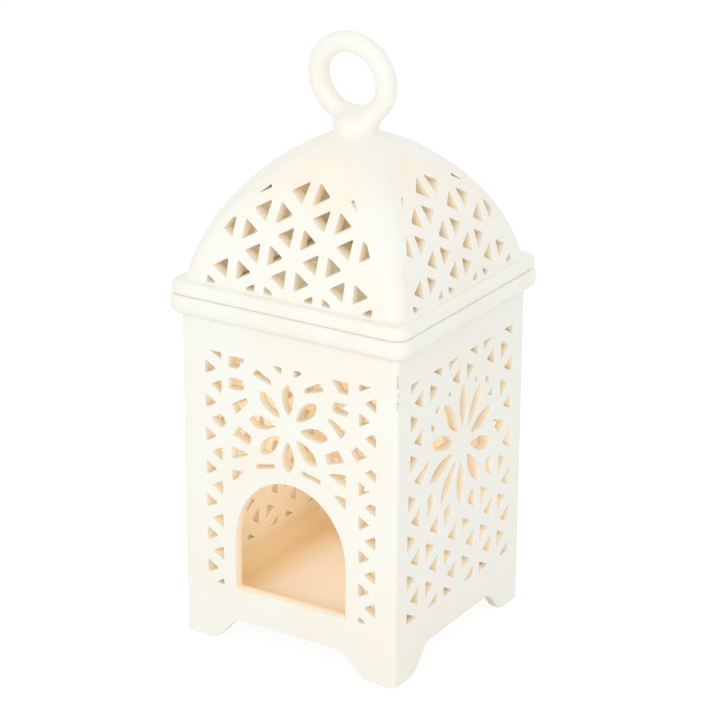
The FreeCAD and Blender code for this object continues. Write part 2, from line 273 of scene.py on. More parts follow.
def counterclockwise(loop):
    return loop if area_of(loop) > 0 else loop[::-1]


def middle_of(points):
    return sum(points, Vector((0, 0))) / len(points)


def mirrored(loop):
    return [Vector((-p.x, p.y)) for p in loop]


def softened(corners, radii, closed=True, step=corner_step):
    """The outline with its corners turned to arcs, each as far as its two runs allow."""
    path = []
    count = len(corners)
    for i, (corner, radius) in enumerate(zip(corners, radii)):
        open_end = not closed and i in (0, count - 1)
        back = corners[i - 1] - corner
        ahead = corners[(i + 1) % count] - corner
        turn = 0 if open_end else math.pi - back.angle(ahead)
        if radius == 0 or turn < corner_step:
            path.append(corner)
            continue
        half = (math.pi - turn) / 2
        run = min(
            radius / math.tan(half),
            fair_share * back.length * radius / (radius + radii[i - 1]),
            fair_share * ahead.length * radius / (radius + radii[(i + 1) % count]),
        )
        start = corner + back.normalized() * run
        centre = corner + (back.normalized() + ahead.normalized()).normalized() * run / math.cos(half)
        spoke = start - centre
        way = 1 if cross(-back, ahead) > 0 else -1
        steps = math.ceil(turn / step)
        for k in range(steps + 1):
            a = way * turn * k / steps
            path.append(centre + Vector((
                spoke.x * math.cos(a) - spoke.y * math.sin(a),
                spoke.x * math.sin(a) + spoke.y * math.cos(a),
            )))
    return path


def soft_cut(corners):
    loop = counterclockwise(corners)
    return softened(loop, [cut_corner] * len(loop))


def profile(corners, radii, step=corner_step):
    """An open outline, given as half widths and heights, with its corners softened."""
    return softened([Vector(p) for p in corners], radii, closed=False, step=step)


def outward_of(before, after):
    """How far a corner of an outline moves when both of its edges move out by one."""
    return (before + after) / (1 + before.dot(after))


def edge_normal(start, end):
    run = (end - start).normalized()
    return Vector((run.y, -run.x))


def grown(loop, distance):
    count = len(loop)
    normals = [edge_normal(loop[i], loop[(i + 1) % count]) for i in range(count)]
    return [loop[i] + outward_of(normals[i - 1], normals[i]) * distance for i in range(count)]


def cropped(loop, window):
    """The part of an outline inside a convex window."""
    for i, corner in enumerate(window):
        side = window[(i + 1) % len(window)] - corner
        kept = []
        for j, point in enumerate(loop):
            before = loop[j - 1]
            depth, depth_before = cross(side, point - corner), cross(side, before - corner)
            if (depth > 0) != (depth_before > 0):
                kept.append(before.lerp(point, depth_before / (depth_before - depth)))
            if depth > 0:
                kept.append(point)
        loop = kept
    return loop


def kept_in_window(cells, window):
    window = counterclockwise(window)
    pieces = [cropped(cell, window) for cell in cells]
    return [soft_cut(piece) for piece in pieces if len(piece) > 2 and abs(area_of(piece)) > least_cut]


def wall_window(margin):
    half = body_half - margin
    low = fret_bottom - fret_past_ends
    high = fret_top + fret_past_ends
    return [Vector(p) for p in ((-half, low), (half, low), (half, high), (-half, high))]


def lattice_cell(line, middle, side, column, bar):
    """A triangle beside an upright bar: side is 1 to the right of the bar and -1 to its left."""
    height = column - bars_per_column * bar
    root = line + side * bar / 2
    half_side = height / root_three
    return [
        Vector((root, middle - half_side)),
        Vector((root, middle + half_side)),
        Vector((root + side * height, middle)),
    ]


def lattice_cells(columns, column, bar, first_row, rows):
    """Triangles of an even lattice about the middle, row by row upwards."""
    reach = columns // 2
    cells = []
    for row in range(rows):
        middle = first_row + row * column / root_three
        for line in range(-reach, reach + 1):
            if (line + row) % 2:
                cells += [lattice_cell(line * column, middle, side, column, bar) for side in (-1, 1)]
    return cells


def petal(inner, outer, width, shoulder):
    """Two bowed sides that meet in a tip at each end, pointing up."""
    widest = inner + shoulder * (outer - inner)
    side = []
    for end, towards in ((inner, -1), (outer, 1)):
        reach = abs(widest - end)
        radius = (reach ** 2 + (width / 2) ** 2) / width
        steps = range(petal_steps, 0, -1) if towards < 0 else range(petal_steps + 1)
        for k in steps:
            a = math.asin(reach / radius) * k / petal_steps
            out = width / 2 - radius * (1 - math.cos(a))
            side.append(Vector((out, widest + towards * radius * math.sin(a))))
    return side + mirrored(side[1:-1])[::-1]


def rosette(petals, height, eye, spread, width, shoulder):
    cuts = []
    for i in range(petals):
        turn = 2 * math.pi * i / petals
        along = math.cos(turn)
        aside = math.sin(turn)
        cuts.append([
            Vector((p.x * along + p.y * aside, height - p.x * aside + p.y * along))
            for p in petal(eye / 2, spread / 2, width, shoulder)
        ])
    return cuts


def filler_cuts(cells, rosette_height):
    right = [[Vector((u, rosette_height + v)) for u, v in cell] for cell in cells]
    return right + [mirrored(cell) for cell in right]


def clear_of(cell, middles, distance):
    """Whether a cell's middle lies farther than the distance from each of the middles."""
    return all((middle_of(cell) - middle).length > distance for middle in middles)


def side_cuts(shown_fillers):
    column = (body_half * 2 - 2 * side_fret_margin + side_fret_bar) / side_fret_columns
    rows = 1 + round((fret_top - fret_bottom) * root_three / column)
    filler_middles = [middle_of(cell) for cell in filler_cuts(side_filler_cells, side_rosette_height)]
    rosette_middle = Vector((0, side_rosette_height))
    cells = [
        cell for cell in lattice_cells(side_fret_columns, column, side_fret_bar, fret_bottom, rows)
        if clear_of(cell, [rosette_middle], side_rosette_clear)
        and clear_of(cell, filler_middles, side_fret_bar)
    ]
    cells += filler_cuts(shown_fillers, side_rosette_height) + rosette(
        side_rosette_petals, side_rosette_height, side_rosette_eye,
        side_rosette_width, side_petal_width, side_petal_shoulder,
    )
    cuts = kept_in_window(cells, wall_window(side_fret_margin))
    return [[hand_drift(p) for p in cut] for cut in cuts]


def hand_drift(point):
    """Where a point of a side wall's pattern came to lie when it was cut by hand."""
    near = soft_step(point.x, drift_none_at, drift_full_at)
    upper = soft_step(point.y, drift_low, drift_high)
    middle = soft_step(point.y, drift_low - drift_fade, drift_low)
    middle *= soft_step(point.y, drift_top, drift_high)
    return point + Vector((side_drift_across * near * upper - side_drift_back, side_drift_up * middle))


def front_cuts():
    outer_line = body_half - front_fret_margin + front_fret_bar / 2
    inner_line = outer_line - front_fret_column
    half_pitch = front_fret_column / root_three
    first_row = fret_bottom - front_fret_drop
    fillers = filler_cuts(front_filler_cells, front_rosette_height)
    filler_middles = [middle_of(cell) for cell in fillers]
    cells = []
    for row in range(1 + round((fret_top - first_row) / half_pitch)):
        line, side = (outer_line, -1) if row % 2 else (inner_line, 1)
        cell = lattice_cell(line, first_row + row * half_pitch, side, front_fret_column, front_fret_bar)
        if clear_of(cell, filler_middles, front_fret_bar):
            cells += [cell, mirrored(cell)]
    window = wall_window(front_fret_margin)
    strips = kept_in_window(cells, window) + [door_cut()]
    drift = Vector((front_drift, 0))
    upper = fillers + rosette(
        front_rosette_petals, front_rosette_height, front_rosette_eye,
        front_rosette_width, front_petal_width, front_petal_shoulder,
    )
    return [[p + drift for p in cut] for cut in strips] + kept_in_window(upper, window)


def door_cut():
    half = door_width / 2
    spring = door_sill + door_straight_height
    loop = [Vector((-half, door_sill)), Vector((half, door_sill))]
    for k in range(door_arch_steps + 1):
        a = math.pi * k / door_arch_steps
        loop.append(Vector((half * math.cos(a), spring + door_arch_rise * math.sin(a))))
    return soft_cut(loop)


def skirt_cut(far):
    """What is cut away under a wall: the arch between its feet and all below their soles."""
    flat = skirt_flat_width / 2
    toe = skirt_toe_width / 2
    right = [(far, -far), (far, 0), (toe, 0), (flat, skirt_height)]
    corners = [Vector(p) for p in right] + mirrored([Vector(p) for p in right[::-1]])
    radii = [0, 0] + [skirt_curve] * 4 + [0, 0]
    return counterclockwise(softened(corners, radii))


# Meshes

class Clay:
    """Points and faces of one piece, in millimetres, welded into a mesh at the end."""

    def __init__(self):
        self.points = []
        self.faces = []

    def point(self, place):
        self.points.append(place)
        return len(self.points) - 1

    def row(self, places):
        return [self.point(place) for place in places]

    def face(self, *corners):
        self.faces.append(corners)

    def join(self, one, other, a, b):
        """A face between two rows, from their places a to their places b."""
        self.face(one[a], one[b], other[b], other[a])

    def bridge(self, one, other, closed=False):
        """A strip of four-sided faces between two rows of as many points."""
        for i in range(len(one) - (not closed)):
            self.join(one, other, i, (i + 1) % len(one))

    def sheet(self, rows, closed=False):
        """Strips from each row to the next."""
        for one, other in zip(rows, rows[1:]):
            self.bridge(one, other, closed)

    def made(self, name):
        mesh = bpy.data.meshes.new(name)
        mesh.from_pydata([p * mm for p in self.points], [], self.faces)
        work = bmesh.new()
        work.from_mesh(mesh)
        bmesh.ops.remove_doubles(work, verts=work.verts, dist=weld * mm)
        bmesh.ops.recalc_face_normals(work, faces=work.faces)
        work.to_mesh(mesh)
        work.free()
        mesh.shade_smooth()
        return put(name, mesh)


def put(name, data):
    """The new object for a mesh, a lamp or a camera, put into the scene."""
    holder = bpy.data.objects.new(name, data)
    bpy.context.scene.collection.objects.link(holder)
    return holder


def evened(piece):
    """Flat faces keep their own normals beside the narrow faces that round their edges."""
    piece.data.set_sharp_from_angle(angle=crisp_from)
    modifier = piece.modifiers.new("even", "WEIGHTED_NORMAL")
    modifier.weight = flat_weight
    modifier.keep_sharp = True
    return piece


def turned(point, quarters):
    for _ in range(quarters % 4):
        point = Vector((-point.y, point.x, point.z))
    return point


class Skin:
    """One face of a hollow shell on a square plan: half width and corner radius by height."""

    def __init__(self, half, corner, inwards):
        self.half = half
        self.corner = corner
        self.inwards = inwards

    def flat(self, side, across, height, depth=0.0):
        """A point of one face, also where the face has begun to turn into its corner."""
        radius = self.corner(height)
        past = max(0.0, abs(across) - self.half(height) + radius)
        away = self.half(height) - radius + math.sqrt(radius ** 2 - past ** 2)
        return turned(Vector((across, self.inwards * depth - away, height)), side)

    def bend(self, side, turn, height, depth=0.0):
        radius = self.corner(height)
        centre = self.half(height) - radius
        radius -= self.inwards * depth
        across = centre + radius * math.sin(turn)
        away = -centre - radius * math.cos(turn)
        return turned(Vector((across, away, height)), side)

    def corner_row(self, side, seam, height, depth=0.0):
        """From the seam of one panel round the corner to the seam of the next."""
        radius = self.corner(height)
        start = math.asin(max(0.0, seam(height) - self.half(height) + radius) / radius)
        turns = [start + (math.pi / 2 - 2 * start) * k / (turn_steps - 1) for k in range(turn_steps)]
        bends = [self.bend(side, turn, height, depth) for turn in turns]
        return [
            self.flat(side, seam(height), height, depth),
            *bends,
            self.flat(side + 1, -seam(height), height, depth),
        ]

    def whole_row(self, seam, height):
        return [p for side in range(4) for p in self.corner_row(side, seam, height)]


Panel = namedtuple("Panel", "points triangles rims outward ends levels")


def pierced_panel(seam, levels, cuts):
    """A panel as seen from the front: triangles between its seams, its ends and its cuts."""
    right = [Vector((seam(z), z)) for z in levels]
    outline = right + mirrored(right[::-1])
    loops = [outline] + [grown(cut, cut_edge) for cut in cuts]
    corners, faces = [], []
    for loop in loops:
        faces.append(list(range(len(corners), len(corners) + len(loop))))
        corners += loop
    last = len(outline) - 1
    lines = [(i, last - i) for i in range(1, len(right) - 1)]
    points, _, found, _, _, inside = delaunay_2d_cdt(corners, lines, faces, 1, same_corner)
    triangles = [face for face, origin in zip(found, inside) if origin == [0]]
    used = sorted({i for face in triangles for i in face})
    place = {old: new for new, old in enumerate(used)}
    points = [points[i] for i in used]
    triangles = [[place[i] for i in face] for face in triangles]
    directed = {(face[i - 1], face[i]) for face in triangles for i in range(3)}
    border = [(a, b) for a, b in directed if (b, a) not in directed]

    def on_seam(a, b):
        near = [abs(abs(points[i].x) - seam(points[i].y)) < same_place for i in (a, b)]
        return all(near) and points[a].x * points[b].x > 0

    def at_end(a, b):
        off = [abs(points[a].y - z) + abs(points[b].y - z) for z in (levels[0], levels[-1])]
        return min(off) < same_place

    ends = [edge for edge in border if at_end(*edge)]
    rims = [edge for edge in border if not at_end(*edge) and not on_seam(*edge)]
    normals = {}
    for a, b in rims:
        for i in (a, b):
            normals.setdefault(i, []).append(edge_normal(points[a], points[b]))
    outward = {i: outward_of(n[0], n[-1]) for i, n in normals.items()}
    seam_heights = sorted({
        round(points[i].y, height_digits)
        for edge in border if on_seam(*edge)
        for i in edge if points[i].x > 0
    })
    return Panel(points, triangles, rims, outward, ends, seam_heights)


def rounding():
    """How far out and how deep each step of a softened edge lies."""
    for k in range(1, cut_edge_steps + 1):
        a = math.pi / 2 * k / cut_edge_steps
        yield cut_edge * math.sin(a), cut_edge * (1 - math.cos(a))


def add_panel(clay, side, panel, skins):
    """Both faces of a pierced panel, with the walls of its cuts between them."""
    flats, brinks = [], []
    for skin in skins:
        row = clay.row(skin.flat(side, p.x, p.y) for p in panel.points)
        for triangle in panel.triangles:
            clay.face(*(row[i] for i in triangle))
        flats.append(row)
        narrower = 1 if skin.inwards > 0 else 1 + cut_narrowing / cut_edge
        for out, deep in rounding():
            step = {}
            for i, way in panel.outward.items():
                above_floor = panel.points[i].y > floor_high.z
                p = panel.points[i] + way * out * (narrower if above_floor else 1)
                step[i] = clay.point(skin.flat(side, p.x, p.y, deep))
            for a, b in panel.rims:
                clay.join(row, step, a, b)
            row = step
        brinks.append(row)
    for a, b in panel.rims:
        clay.join(*brinks, a, b)
    return flats


def add_corner(clay, side, seam, levels, skins, soft_foot):
    """Both faces of the corner that follows a panel. Returns their lowest and highest rows."""
    lowest, highest = [], []
    for skin in skins:
        rows = [clay.row(skin.corner_row(side, seam, z)) for z in levels]
        clay.sheet(rows)
        foot = rows[0]
        if soft_foot:
            for out, deep in rounding():
                step = clay.row(skin.corner_row(side, seam, levels[0] - out, deep))
                clay.bridge(foot, step)
                foot = step
        lowest.append(foot)
        highest.append(rows[-1])
    return lowest, highest


# Body

def constant(value):
    return lambda height: value


def body_walls():
    """The four walls in one skin of clay, from their soles up into the rim."""
    skins = [
        Skin(constant(body_half), constant(wall_corner), 1),
        Skin(constant(chamber_half), constant(chamber_corner), -1),
    ]
    seam = constant(chamber_half - chamber_corner - seam_beside_corner)
    levels = [-wall_into_rim, wall_height + wall_into_rim]
    skirt = skirt_cut(body_half)
    front = pierced_panel(seam, levels, front_cuts() + [skirt])
    plain = pierced_panel(seam, levels, side_cuts(side_filler_cells) + [skirt])
    back = pierced_panel(seam, levels, side_cuts(back_filler_cells) + [skirt])
    clay = Clay()
    for side, panel in enumerate([front, plain, back, plain]):
        flats = add_panel(clay, side, panel, skins)
        for a, b in panel.ends:
            clay.join(*flats, a, b)
        lowest, highest = add_corner(clay, side, seam, panel.levels, skins, soft_foot=True)
        clay.bridge(*lowest)
        clay.bridge(*highest)
    return evened(clay.made("body_walls"))


def square_row(half, corner, height):
    """A closed row round a square with round corners, or round a circle if corner equals half."""
    plan = Skin(constant(half), constant(corner), 1)
    return [
        plan.bend(side, math.pi / 2 * k / (turn_steps - 1), height)
        for side in range(4) for k in range(turn_steps)
    ]


def plan_corner(half):
    """The corner radius of the body's plan at a half width, from the chamber out to the rims."""
    if half > rebate_half:
        return wall_corner + half - body_half
    outward = max(0, half - chamber_half) / (rebate_half - chamber_half)
    return chamber_corner + (rebate_corner - chamber_corner) * outward


def lofted(name, rows, closed=False):
    clay = Clay()
    rows = [clay.row(places) for places in rows]
    clay.sheet(rows, closed=True)
    if closed:
        clay.bridge(rows[-1], rows[0], closed=True)
    else:
        clay.face(*rows[0])
        clay.face(*rows[-1])
    return evened(clay.made(name))


def ring_of_profile(name, corners):
    """A rim: its profile, as half width, height and corner radius, swept round the plan."""
    outline = softened([Vector((half, z)) for half, z, _ in corners], [radius for _, _, radius in corners])
    return lofted(name, [square_row(p.x, plan_corner(p.x), p.y) for p in outline], closed=True)


def body_rim():
    shelf = seam_height - rebate_depth
    foot = wall_height - rim_cove
    return ring_of_profile("body_rim_roll", [
        (body_half - rim_root, foot, 0),
        (body_half - rim_root, wall_height, 0),
        (chamber_half + rim_inset, wall_height, 0),
        (chamber_half + rim_inset, shelf, cut_edge),
        (rebate_half, shelf, cut_edge),
        (rebate_half, seam_height, cut_edge),
        (rim_high.x, seam_height, rim_edge),
        (rim_high.x, wall_height, rim_roll),
        (body_half + rim_overlap, wall_height, rim_cove),
        (body_half + rim_overlap, foot, 0),
    ])


def chamber_floor():
    """The floor slab, with the soft hollow that runs up into the walls."""
    into_wall = chamber_half + wall_thickness / 4
    cove_top = floor_high.z + floor_cove
    face = chamber_half + floor_into_wall
    corners = [
        (into_wall, floor_low.z), (into_wall, cove_top), (face, cove_top),
        (face, floor_high.z), (chamber_half / 2, floor_high.z),
    ]
    outline = profile(corners, [0, 0, 0, floor_cove, 0], cove_turn)
    return lofted("floor_slab", [square_row(p.x, plan_corner(p.x), p.y) for p in outline])


def oil_dish():
    """A round bowl in a square flange that hangs in the mouth of the body."""
    half = dish_high.x
    top = dish_high.z
    flange_low = top - dish_flange
    bottom = dish_low.z + dish_wall
    outer = dish_bowl_half + dish_wall
    inner_edge = dish_bowl_half + dish_run
    hollow = profile(
        [(dish_middle, bottom), (dish_bowl_half, bottom), (dish_bowl_half, top), (inner_edge, top)],
        [0, dish_bowl_curve, dish_edge, 0],
    )
    rim = profile(
        [(half - dish_run, top), (half, top), (half, flange_low), (half - dish_corner, flange_low)],
        [0, dish_edge, cut_edge, 0],
    )
    under_flange = outer + dish_under_run
    outside = profile(
        [(under_flange, flange_low), (outer, flange_low), (outer, dish_low.z), (dish_middle, dish_low.z)],
        [0, dish_flange_curve, dish_bowl_curve + dish_wall, 0],
    )
    rows = [square_row(p.x, p.x, p.y) for p in hollow]
    rows += [square_row(p.x, max(dish_least_corner, dish_corner - half + p.x), p.y) for p in rim]
    rows += [square_row(p.x, p.x, p.y) for p in outside]
    return lofted("oil_dish_glazed", rows)


# Lid

def vault_arc():
    """Across and up, the middle of the arc that runs from the lid's rim to the crown."""
    foot = Vector((body_half, lid_rim_top))
    crown = Vector((0, lid_rim_top + vault_rise))
    chord = crown - foot
    away = Vector((chord.y, -chord.x)).normalized()
    away = -away if away.y > 0 else away
    return (foot + crown) / 2 + away * math.sqrt(vault_radius ** 2 - chord.length ** 2 / 4)


vault_middle = vault_arc()


def vault_half(inset):
    radius = vault_radius - inset
    return lambda height: vault_middle.x + math.sqrt(radius ** 2 - (height - vault_middle.y) ** 2)


def vault_peak(inset):
    return vault_middle.y + math.sqrt((vault_radius - inset) ** 2 - vault_middle.x ** 2)


def neck_foot():
    """The middle of the small curve between the vault and the neck, across and up."""
    out = neck_half + neck_foot_curve - vault_middle.x
    return vault_middle + Vector((out, math.sqrt((vault_radius + neck_foot_curve) ** 2 - out ** 2)))


neck_foot_middle = neck_foot()


def lid_outside(height):
    """Half width of the lid from the cove over its rim, up the vault and into the neck."""
    if height > neck_foot_middle.y:
        return neck_half
    rise = (neck_foot_middle - vault_middle).normalized() * vault_radius
    if height > (vault_middle + rise).y:
        return neck_foot_middle.x - math.sqrt(neck_foot_curve ** 2 - (neck_foot_middle.y - height) ** 2)
    below = min(lid_cove, max(0, lid_rim_top + lid_cove - height))
    return vault_half(0)(height) + lid_cove - math.sqrt(lid_cove ** 2 - below ** 2)


def vault_swell(height):
    """How far the faces stand out of the plain arc between hips that stay where they are."""
    rising = soft_step(height, lid_rim_top, vault_full_from)
    return vault_fullness * rising * soft_step(height, neck_foot_middle.y, vault_full_to)


def lid_hip(height):
    """Corner radius of the lid in plan: it grows towards the crown until the plan is round."""
    half = lid_outside(height)
    share = clamped((crown_round_from - half) / (crown_round_from - neck_half))
    return vault_hip + (half - vault_hip) * share


def lid_cuts():
    column = (lid_fret_width + lid_fret_bar) / lid_fret_columns
    outermost = (lid_fret_columns // 2 - 1) * column + column / 2
    cells = [
        cell for cell in lattice_cells(lid_fret_columns, column, lid_fret_bar, lid_rim_top, lid_fret_rows)
        if cell[0].y < lid_rim_top or abs(cell[0].x) < outermost
    ]
    low = lid_rim_top + lid_fret_above_rim
    high = vault_peak(lid_fret_hip_margin)
    half = vault_half(lid_fret_hip_margin)
    heights = [low + (high - low) * k / hip_steps for k in range(hip_steps)]
    right = [Vector((half(z), z)) for z in heights]
    cuts = kept_in_window(cells, right + [Vector((0, high))] + mirrored(right[::-1]))
    return [divided(cut, vault_step) for cut in cuts]


def divided(loop, step):
    """The outline with its long edges divided, so that it can follow a curved face."""
    points = []
    for i, start in enumerate(loop):
        end = loop[(i + 1) % len(loop)]
        parts = math.ceil((end - start).length / step)
        points += [start.lerp(end, k / parts) for k in range(parts)]
    return points


def lid_vault():
    """Four pierced faces that meet at soft hips and close over the crown."""
    plain_inside = vault_half(wall_thickness)
    outer = Skin(
        lambda height: lid_outside(height) + vault_swell(height),
        lambda height: lid_hip(height) + hip_by_fullness * vault_swell(height), 1,
    )
    inner = Skin(
        lambda height: plain_inside(height) + vault_swell(height),
        lambda height: vault_inner_hip + hip_by_fullness * vault_swell(height), -1,
    )
    cuts = lid_cuts()
    highest_cut = max(p.y for cut in cuts for p in cut)
    foot = lid_rim_top + lid_cove
    top = highest_cut + 2 * vault_step
    steps = math.ceil((top - foot) / vault_step)
    levels = [lid_rim_top - vault_into_rim]
    levels += [foot - lid_cove * math.cos(math.pi / 2 * k / cove_steps) for k in range(cove_steps)]
    levels += [foot + (top - foot) * k / steps for k in range(steps + 1)]
    crown_inside = vault_peak(wall_thickness)

    def seam(height):
        room = min(plain_inside(height) - vault_inner_hip, lid_outside(height) - lid_hip(height))
        return max(0, room - seam_beside_corner)

    panel = pierced_panel(seam, levels, cuts)
    clay = Clay()
    for side in range(4):
        flats = add_panel(clay, side, panel, (outer, inner))
        for a, b in panel.ends:
            if panel.points[a].y < foot:
                clay.join(*flats, a, b)
        lowest, _ = add_corner(clay, side, seam, panel.levels, (outer, inner), soft_foot=False)
        clay.bridge(*lowest)
    for skin, peak in ((outer, neck_foot_middle.y), (inner, crown_inside - crown_gap)):
        rise = peak - top
        heights = [top + rise * math.sin(math.pi / 2 * k / crown_steps) for k in range(crown_steps + 1)]
        if skin is outer:
            heights.append(neck_joint)
        rows = [clay.row(skin.whole_row(seam, height)) for height in heights]
        clay.sheet(rows, closed=True)
        clay.face(*rows[-1])
    return evened(clay.made("lid_vault"))


def lid_rim():
    return ring_of_profile("lid_rim_roll", [
        (chamber_half + rim_inset, lid_rim_low.z, cut_edge),
        (lid_lip_half, lid_rim_low.z, cut_edge),
        (lid_lip_half, seam_height, cut_edge / 2),
        (lid_rim_high.x, seam_height, lid_edge),
        (lid_rim_high.x, lid_rim_top, lid_roll),
        (chamber_half + rim_inset, lid_rim_top, 0),
    ])


def applied(piece):
    """Bakes the piece's modifiers into its mesh."""
    graph = bpy.context.evaluated_depsgraph_get()
    mesh = bpy.data.meshes.new_from_object(piece.evaluated_get(graph))
    piece.modifiers.clear()
    piece.data = mesh
    return piece


def ring_axes():
    """The middle of the ring as it was set by hand, the way up in its plane, and its axis."""
    middle = (ring_low + ring_high) / 2 + Vector((ring_aside, ring_forward, 0))
    up = Vector((0, -math.sin(ring_lean), math.cos(ring_lean)))
    return middle, up, Vector((0, up.z, -up.y))


def handle_depth(point):
    """How far a point lies outside the ring and the neck, luted together with a soft joint."""
    middle, up, axis = ring_axes()
    spoke = point - middle
    off_circle = math.hypot(spoke.x, spoke.dot(up)) - ring_radius
    ring = math.hypot(off_circle, spoke.dot(axis)) - ring_tube_radius
    out = math.hypot(point.x, point.y) - neck_half + neck_shoulder
    above = point.z - neck_high.z + neck_shoulder
    neck = min(max(out, above), 0.0) + math.hypot(max(out, 0.0), max(above, 0.0)) - neck_shoulder
    joint = ring_joint * soft_step(point.z, joint_from, joint_full) + settle_probe
    share = clamped(0.5 + (neck - ring) / (2 * joint))
    return neck + (ring - neck) * share - joint * share * (1 - share)


def settled(point):
    """The point moved onto the surface of the handle."""
    for _ in range(settle_rounds):
        depth = handle_depth(point)
        ways = [Vector((settle_probe, 0, 0)), Vector((0, settle_probe, 0)), Vector((0, 0, settle_probe))]
        slope = Vector([(handle_depth(point + way) - depth) / settle_probe for way in ways])
        point = point - slope * depth / max(slope.length_squared, settle_probe)
    return point


def lid_handle():
    """Neck and ring luted together: one skin of clay."""
    middle, up, axis = ring_axes()
    clay = Clay()
    tube = []
    for i in range(ring_steps):
        a = 2 * math.pi * i / ring_steps
        spoke = Vector((1, 0, 0)) * math.cos(a) + up * math.sin(a)
        turns = [2 * math.pi * k / tube_steps for k in range(tube_steps)]
        outs = [ring_radius + ring_tube_radius * math.cos(b) for b in turns]
        tube.append(clay.row(
            middle + spoke * out + axis * ring_tube_radius * math.sin(b) for out, b in zip(outs, turns)
        ))
    for i, row in enumerate(tube):
        clay.bridge(tube[i - 1], row, closed=True)
    corners = [(neck_half, neck_low.z), (neck_half, neck_high.z), (neck_tip, neck_high.z)]
    outline = profile(corners, [0, neck_shoulder, 0])
    column = [clay.row(square_row(p.x, p.x, p.y)) for p in outline]
    clay.sheet(column, closed=True)
    clay.face(*column[0])
    clay.face(*column[-1])
    piece = clay.made("lid_handle")
    remesh = piece.modifiers.new("skin", "REMESH")
    remesh.mode = "VOXEL"
    remesh.voxel_size = ring_voxel * mm
    applied(piece)
    for vertex in piece.data.vertices:
        point = vertex.co / mm
        if point.z > neck_low.z + neck_shoulder:
            vertex.co = settled(point) * mm
    piece.data.shade_smooth()
    return piece


# Finishes

class Shade:
    """A socket of a shader, so that shader maths reads as plain maths."""

    def __init__(self, finish, socket):
        self.finish = finish
        self.socket = socket

    def __add__(self, other):
        return self.finish.maths("ADD", self, other)

    def __sub__(self, other):
        return self.finish.maths("SUBTRACT", self, other)

    def __rsub__(self, other):
        return self.finish.maths("SUBTRACT", other, self)

    def __mul__(self, other):
        return self.finish.maths("MULTIPLY", self, other)

    def __pow__(self, other):
        return self.finish.maths("POWER", self, other)

    def __abs__(self):
        return self.finish.maths("ABSOLUTE", self)

    __radd__ = __add__
    __rmul__ = __mul__


class Finish:
    """The nodes of a material or of the world, under construction."""

    def __init__(self, owner):
        owner.use_nodes = True
        self.tree = owner.node_tree
        self.tree.nodes.clear()

    def node(self, kind, settings=None, sockets=None):
        """Adds a node, sets its settings and then the values or links of its sockets."""
        made = self.tree.nodes.new("ShaderNode" + kind)
        for key, value in (settings or {}).items():
            setattr(made, key, value)
        for key, value in (sockets or {}).items():
            self.feed(made.inputs[key], value)
        return made

    def feed(self, socket, value):
        if isinstance(value, Shade):
            self.tree.links.new(value.socket, socket)
        else:
            socket.default_value = (*value, 1) if isinstance(value, tuple) else value

    def out(self, made, socket=0):
        return Shade(self, made.outputs[socket])

    def maths(self, operation, *values):
        return self.out(self.node("Math", {"operation": operation}, dict(enumerate(values))))

    def step(self, value, low, high):
        """0 below low and 1 above high, with a soft way between. It falls if low is above high."""
        sockets = {"Value": value, "From Min": min(low, high), "From Max": max(low, high)}
        made = self.out(self.node("MapRange", {"interpolation_type": "SMOOTHSTEP"}, sockets))
        return made if low < high else 1 - made

    def mix(self, share, one, other):
        """A colour between two others."""
        made = self.node("Mix", {"data_type": "RGBA"})
        for key, value in {"Factor": share, "A": one, "B": other}.items():
            self.feed(next(s for s in made.inputs if s.name == key and s.enabled), value)
        return Shade(self, next(s for s in made.outputs if s.enabled))

    def mix_shaders(self, share, one, other):
        return self.out(self.node("MixShader", {}, {0: share, 1: self.out(one), 2: self.out(other)}))

    def place(self):
        """Across, away and up on the piece at rest, in millimetres."""
        spot = self.out(self.node("TexCoord"), "Object")
        apart = self.node("SeparateXYZ", {}, {0: spot})
        return spot, [self.out(apart, k) * (1 / mm) for k in range(3)]

    def noise(self, spot, scale, detail):
        return self.out(self.node("TexNoise", {}, {"Vector": spot, "Scale": scale, "Detail": detail}))


# The curve between an sRGB value and its light
full_value = 255
dark_end = 0.04045
dark_slope = 12.92
toe = 0.055
gamma = 2.4


def light(value):
    """An sRGB value from 0 to 255 as the light it stands for."""
    value /= full_value
    return value / dark_slope if value <= dark_end else ((value + toe) / (1 + toe)) ** gamma


def colour(red, green, blue):
    return light(red), light(green), light(blue)


ivory = colour(250, 249, 240)
ivory_warm = colour(250, 246, 233)
# Cut and inside tones: partly a thinner glaze, partly painted shade and painted warm bounced light down
# the cuts and inside
cut_cream = colour(255, 248, 232)
cut_tan = colour(254, 243, 223)
cut_deep = colour(252, 234, 205)
inside_tan = colour(248, 233, 208)
inside_deep = colour(246, 228, 200)
# Painted light: the open floor paler, where light falls in through the door
floor_painted_light = colour(246, 232, 217)
# Painted shade in the hollow where the floor meets the walls
hollow_shade_tan = colour(238, 210, 168)
flaw_grey = colour(172, 178, 158)
# Painted shade in the cuts of the left wall, which gets less light
left_cut_shade = colour(243, 217, 178)
speck_brown = colour(176, 150, 118)

# Scale and detail of the noises in the glaze, and where they turn from one tone to the next
drift_noise = (28, 2)
patch_noise = (90, 3)
swell_noise = (45, 1)
peel_noise = (260, 2)
crawl_noise = (700, 2)
speck_scale = 140
warm_between = (0.4, 0.65)
patchy_between = (0.35, 0.7)
crawl_between = (0.4, 0.6)
speck_reach = (0.07, 0.03)
speck_chance = (0.9, 0.95)
speck_strength = 0.2

# Gloss and relief of the glaze
satin = 0.3
matter_inside = 0.35
patch_roughness = 0.08
glaze_coat = 0.25
coat_roughness = 0.12
glaze_index = 1.5
bump_strength = 0.35
bump_height = 0.25
peel_height = 0.12

# A flaw in the glaze down the near upright edge
flaw_across = body_half - 0.3
flaw_away = 0.8 - body_half
flaw_middle = 114.5
flaw_reach = 8.0
flaw_width = (0.6, 0.25)
flaw_strength = 0.6

# Painted shade in the hollow where the floor meets the walls, darkest just out on the floor
hollow_shade_middle = 4.5
hollow_shade_reach = 19.0
hollow_shade_core = 1.0
hollow_shade_up_wall = 1.7
